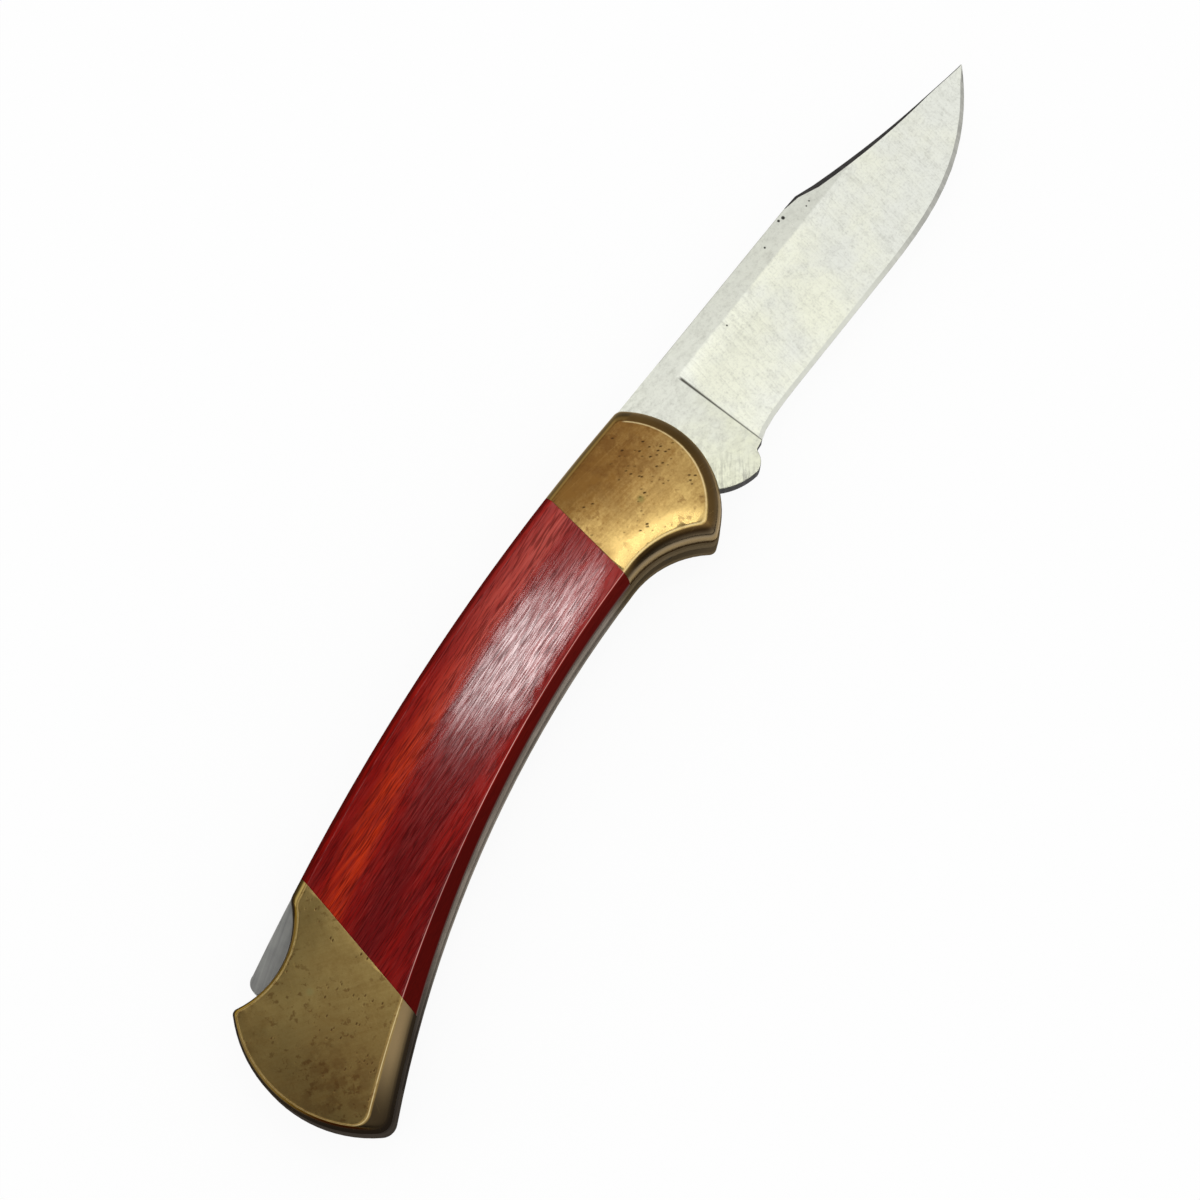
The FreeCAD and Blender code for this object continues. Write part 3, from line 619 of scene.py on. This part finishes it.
def crownFace(bm, rim):
    # the flat face is cut into a grid, then sinks towards its rim
    s = sides
    flat = max((face for face in bm.faces if face.normal.z > 0.99), key=lambda face: face.calc_area())
    flat.material_index = 1
    steps = [((x, 0.0, 0.0), (1.0, 0.0, 0.0)) for x in range(*s["gridX"])]
    steps += [((0.0, y, 0.0), (0.0, 1.0, 0.0)) for y in range(*s["gridY"])]
    for place, way in steps:
        faces = [face for face in bm.faces if face.material_index == 1]
        edges = {edge for face in faces for edge in face.edges}
        verts = {vert for face in faces for vert in face.verts}
        bmesh.ops.bisect_plane(bm, geom=[*verts, *edges, *faces], dist=1e-4, plane_co=place, plane_no=way)
    faces = [face for face in bm.faces if face.material_index == 1]
    for vert in {vert for face in faces for vert in face.verts}:
        reach = min((vert.co - point).length for point in rim)
        share = min(reach / s["crownReach"], 1.0)
        vert.co.z = s["top"] - s["crownDrop"] * (1.0 - share) ** 2
    for face in faces:
        face.material_index = 0


def cutAt(bm, x, lean, keepAhead):
    ahead = Vector((math.cos(math.radians(lean)), -math.sin(math.radians(lean)), 0.0))
    cut = bmesh.ops.bisect_plane(bm, geom=bm.verts[:] + bm.edges[:] + bm.faces[:], dist=1e-5,
                                 plane_co=(x, 0.0, 0.0), plane_no=ahead,
                                 clear_inner=keepAhead, clear_outer=not keepAhead)
    rim = [part for part in cut["geom_cut"] if isinstance(part, bmesh.types.BMEdge)]
    bmesh.ops.edgeloop_fill(bm, edges=rim)
    bmesh.ops.bevel(bm, geom=rim, offset=sides["seamEase"], segments=2, profile=0.5,
                    affect="EDGES", material=-1)


def addSide(part, cuts, finish):
    # the right side is cut from the block, the left one is its mirror
    for side in ("right", "left"):
        bm = block.copy()
        for x, lean, keepAhead in cuts:
            cutAt(bm, x, lean, keepAhead)
        if side == "left":
            upsideDown = Matrix.Diagonal((1.0, 1.0, -1.0, 1.0))
            flip = Matrix.Translation((0.0, 0.0, 2 * section["middle"])) @ upsideDown
            bmesh.ops.transform(bm, matrix=flip, verts=bm.verts)
            bmesh.ops.reverse_faces(bm, faces=bm.faces)
        bmesh.ops.scale(bm, vec=(mm, mm, mm), verts=bm.verts)
        addPiece(side + "_" + part + "_dressed", bm, "handle", side + "_" + part, finish)


block = sideBlock()
frontCut = (sides["frontJoint"], sides["frontLean"])
rearCut = (sides["rearJoint"], sides["rearLean"])
addSide("front_bolster", [(*frontCut, True)], frontBrass)
addSide("scale", [(*frontCut, False), (*rearCut, True)], redWood)
addSide("rear_bolster", [(*rearCut, False)], rearBrass)
print("handle sides made")


# Flat metal pieces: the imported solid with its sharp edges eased
easing = {"mergeWithin": 1e-6, "flatWithin": 0.2, "segments": 3}


def easedCopy(node, ease, pick=None):
    bm = bmesh.new()
    bm.from_mesh(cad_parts[node].data)
    bmesh.ops.remove_doubles(bm, verts=bm.verts, dist=easing["mergeWithin"])
    bmesh.ops.dissolve_limit(bm, angle_limit=math.radians(easing["flatWithin"]), verts=bm.verts,
                             edges=bm.edges)
    sharp = math.radians(crispAngle)
    edges = [edge for edge in bm.edges if edge.is_manifold and edge.calc_face_angle() > sharp]
    if pick:
        edges = [edge for edge in edges if pick(edge)]
    bmesh.ops.bevel(bm, geom=edges, offset=ease * mm, segments=easing["segments"], profile=0.5,
                    affect="EDGES", material=-1)
    return bm


eased = {
    "left_liner": ("handle", "liner_metal", linerMetal, 0.1),
    "right_liner": ("handle", "liner_metal", linerMetal, 0.1),
    "rear_spacer": ("handle", "liner_metal", linerMetal, 0.06),
    "lock_bar": ("lock", "lock_steel", lockSteel, 0.16),
}
for node, (body, slot, finish, ease) in eased.items():
    addPiece(node + "_dressed", easedCopy(node, ease), body, node, finish)

blade = {
    "ease": 0.14, "easeTo": 21.0, "plunge": 21.5, "plungeSlack": 0.02, "clip": 56.0, "sharpAngle": 20.0,
    "spineFacing": 0.85, "wallFacing": 0.45, "clipFacing": 0.3, "edgeFacing": -0.2,
}


def onTang(edge):
    # the tang's own edges, not the ground part or its sharp edge
    return all(vert.co.x < blade["easeTo"] * mm for vert in edge.verts)


bm = easedCopy("blade", blade["ease"], onTang)
for face in bm.faces:
    ahead = face.calc_center_median().x
    onClip = face.normal.y > blade["clipFacing"] and ahead > blade["clip"] * mm
    if face.normal.y > blade["spineFacing"]:
        continue                     # the spine keeps the satin finish
    # index 1 carries the clip grind's painted shade
    if abs(face.normal.z) < blade["wallFacing"] or onClip:
        face.material_index = 1      # clip grind and the walls of the tang
    elif face.normal.y < blade["edgeFacing"] and ahead > blade["plunge"] * mm:
        face.material_index = 2      # sharpened bevel
knifeBlade = addPiece("blade_dressed", bm, "blade", "blade", bladeSteel, blade["sharpAngle"])
knifeBlade.data.materials.append(clipGrindShade)
knifeBlade.data.materials.append(edgeSteel)
for edge in knifeBlade.data.edges:
    ends = [knifeBlade.data.vertices[index].co.x for index in edge.vertices]
    if all(abs(x - blade["plunge"] * mm) < blade["plungeSlack"] * mm for x in ends):
        edge.use_edge_sharp = True
print("blade, lock bar and liners made")

# Pins ground flush with the bolsters and polished over: they end a hair under the face
flushPins = {"pivot_pin": 2.3, "upper_rear_rivet": 1.5, "lower_rear_rivet": 1.5}
pinShape = {"sides": 48, "under": 0.3, "ease": 0.12}
for node, radius in flushPins.items():
    low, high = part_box(node)
    middle = (low + high) / 2
    bm = bmesh.new()
    bmesh.ops.create_cone(bm, cap_ends=True, segments=pinShape["sides"], radius1=radius * mm,
                          radius2=radius * mm, depth=high.z - low.z - 2 * pinShape["under"] * mm)
    rims = [edge for edge in bm.edges if abs(edge.verts[0].co.z - edge.verts[1].co.z) < 1e-6]
    bmesh.ops.bevel(bm, geom=rims, offset=pinShape["ease"] * mm, segments=2, profile=0.5,
                    affect="EDGES", material=-1)
    bmesh.ops.translate(bm, vec=middle, verts=bm.verts)
    addPiece(node + "_dressed", bm, "handle", node, pinBrass)

# Pieces kept as packed, with their finishes
kept = {
    "left_front_bolster_pins": pinBrass, "right_front_bolster_pins": pinBrass,
    "pivot_bushing": bronze, "left_pivot_washer": bronze, "right_pivot_washer": bronze,
    "rocker_pin": pinSteel, "spring_pin": pinSteel, "lock_spring": springSteel,
}
for node, finish in kept.items():
    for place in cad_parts[node].material_slots:
        place.material = finish
print("pins and hidden pieces finished")

# White floor and world, a grey card overhead and a dark surround for the metal to mirror, and a lamp
studio = {
    "floorSize": 4.0, "floorDrop": 0.0002, "floorColour": (0.9, 0.9, 0.9), "floorGlow": 0.92, "fill": 0.95,
    "cardHeight": 0.75, "cardAt": (0.12, 0.16), "cardReach": (0.48, 0.38),
    "cardDark": 0.08, "cardLight": 1.0, "cardFrom": 0.06, "cardTo": 0.28,
    "surroundRadius": 0.5, "surroundHeight": 0.2, "surroundSides": 64,
    "surroundColour": (1.0, 0.97, 0.93), "surroundLevel": 0.12,
}
lamp = {
    "at": (0.099, 0.098, 0.74), "aim": (0.099, 0.098, 0.0), "turn": 18.0,
    "size": (0.055, 0.10), "radiance": 14.5,
}
white = (1.0, 1.0, 1.0, 1.0)


def shownRays(wire):
    # 1 for rays from the camera, from gloss and through glass
    kinds = ("Camera", "Glossy", "Transmission")
    paths = [wire.add("LightPath", None, None, "Is " + kind + " Ray") for kind in kinds]
    return wire.math("MINIMUM", paths[0] + paths[1] + paths[2], 1.0)


def stageFinish(name, surface):
    material = bpy.data.materials.new(name)
    material.use_nodes = True
    tree = material.node_tree
    tree.nodes.clear()
    output = tree.nodes.new("ShaderNodeOutputMaterial")
    tree.links.new(surface(Wire(tree)).socket, output.inputs["Surface"])
    return material


def whiteFloor(wire):
    chalk = wire.add("BsdfDiffuse", None, {"Color": (*studio["floorColour"], 1.0)})
    glow = wire.add("Emission", None, {"Color": white, "Strength": 1.0})
    return wire.add("MixShader", None, {0: shownRays(wire) * studio["floorGlow"], 1: chalk, 2: glow})


def greyCard(wire):
    place = wire.add("TexCoord", None, None, 3)
    along = place.axis(0).rise(studio["cardFrom"], studio["cardTo"])
    level = along * (studio["cardLight"] - studio["cardDark"]) + studio["cardDark"]
    return wire.add("Emission", None, {"Color": white, "Strength": level})


def darkWall(wire):
    colour = (*studio["surroundColour"], 1.0)
    return wire.add("Emission", None, {"Color": colour, "Strength": studio["surroundLevel"]})


def addStage(name, sheet, finish):
    mesh = bpy.data.meshes.new(name)
    sheet.to_mesh(mesh)
    sheet.free()
    mesh.materials.append(finish)
    made = bpy.data.objects.new(name, mesh)
    bpy.context.scene.collection.objects.link(made)
    return made


floor = bmesh.new()
bmesh.ops.create_grid(floor, x_segments=1, y_segments=1, size=studio["floorSize"])
bmesh.ops.translate(floor, vec=(0.0, 0.0, -studio["floorDrop"]), verts=floor.verts)
addStage("floor", floor, stageFinish("white_floor", whiteFloor))
card = bmesh.new()
bmesh.ops.create_grid(card, x_segments=1, y_segments=1, size=1.0)
bmesh.ops.scale(card, vec=(*studio["cardReach"], 1.0), verts=card.verts)
bmesh.ops.translate(card, vec=(*studio["cardAt"], studio["cardHeight"]), verts=card.verts)
surround = bmesh.new()
bmesh.ops.create_cone(surround, cap_ends=False, segments=studio["surroundSides"],
                      radius1=studio["surroundRadius"], radius2=studio["surroundRadius"],
                      depth=studio["surroundHeight"])
bmesh.ops.translate(surround, vec=(0.0, 0.0, studio["surroundHeight"] / 2), verts=surround.verts)
for name, sheet, surface in (("overhead_card", card, greyCard), ("dark_surround", surround, darkWall)):
    made = addStage(name, sheet, stageFinish(name, surface))
    made.visible_camera = False
    made.visible_diffuse = False
    made.visible_shadow = False

world = bpy.data.worlds.new("studio")
bpy.context.scene.world = world
world.use_nodes = True
shown = shownRays(Wire(world.node_tree))
background = world.node_tree.nodes["Background"]
background.inputs["Color"].default_value = white
level = shown + (1.0 - shown) * studio["fill"]
world.node_tree.links.new(level.socket, background.inputs["Strength"])

light = bpy.data.lights.new("key", "AREA")
light.shape = "RECTANGLE"
light.size, light.size_y = lamp["size"]
light.energy = lamp["radiance"] * math.pi * lamp["size"][0] * lamp["size"][1]
lampObject = bpy.data.objects.new("key", light)
bpy.context.scene.collection.objects.link(lampObject)
away = Vector(lamp["at"]) - Vector(lamp["aim"])
facing = away.to_track_quat("Z", "Y").to_matrix().to_4x4()
spin = Matrix.Rotation(math.radians(lamp["turn"]), 4, "Z")
lampObject.matrix_world = Matrix.Translation(lamp["at"]) @ facing @ spin
lampObject.visible_camera = False

# Camera where the photograph was taken from, rolled so that the knife runs up to the right
shot = {
    "from": (-0.123134, -0.087143, 0.532481), "right": (0.614672, -0.788783, 0.0),
    "up": (0.763658, 0.595093, 0.250380), "lens": 100.0, "sensor": 36.0, "clipStart": 0.01,
}
cameraData = bpy.data.cameras.new("camera")
cameraData.lens = shot["lens"]
cameraData.sensor_width = shot["sensor"]
cameraData.clip_start = shot["clipStart"]
cameraObject = bpy.data.objects.new("camera", cameraData)
bpy.context.scene.collection.objects.link(cameraObject)
right = Vector(shot["right"]).normalized()
up = Vector(shot["up"]).normalized()
turn = Matrix((right, up, right.cross(up))).transposed().to_4x4()
cameraObject.matrix_world = Matrix.Translation(shot["from"]) @ turn
bpy.context.scene.camera = cameraObject
bpy.context.scene.view_settings.view_transform = "Standard"
print("floor, lamp and camera set")
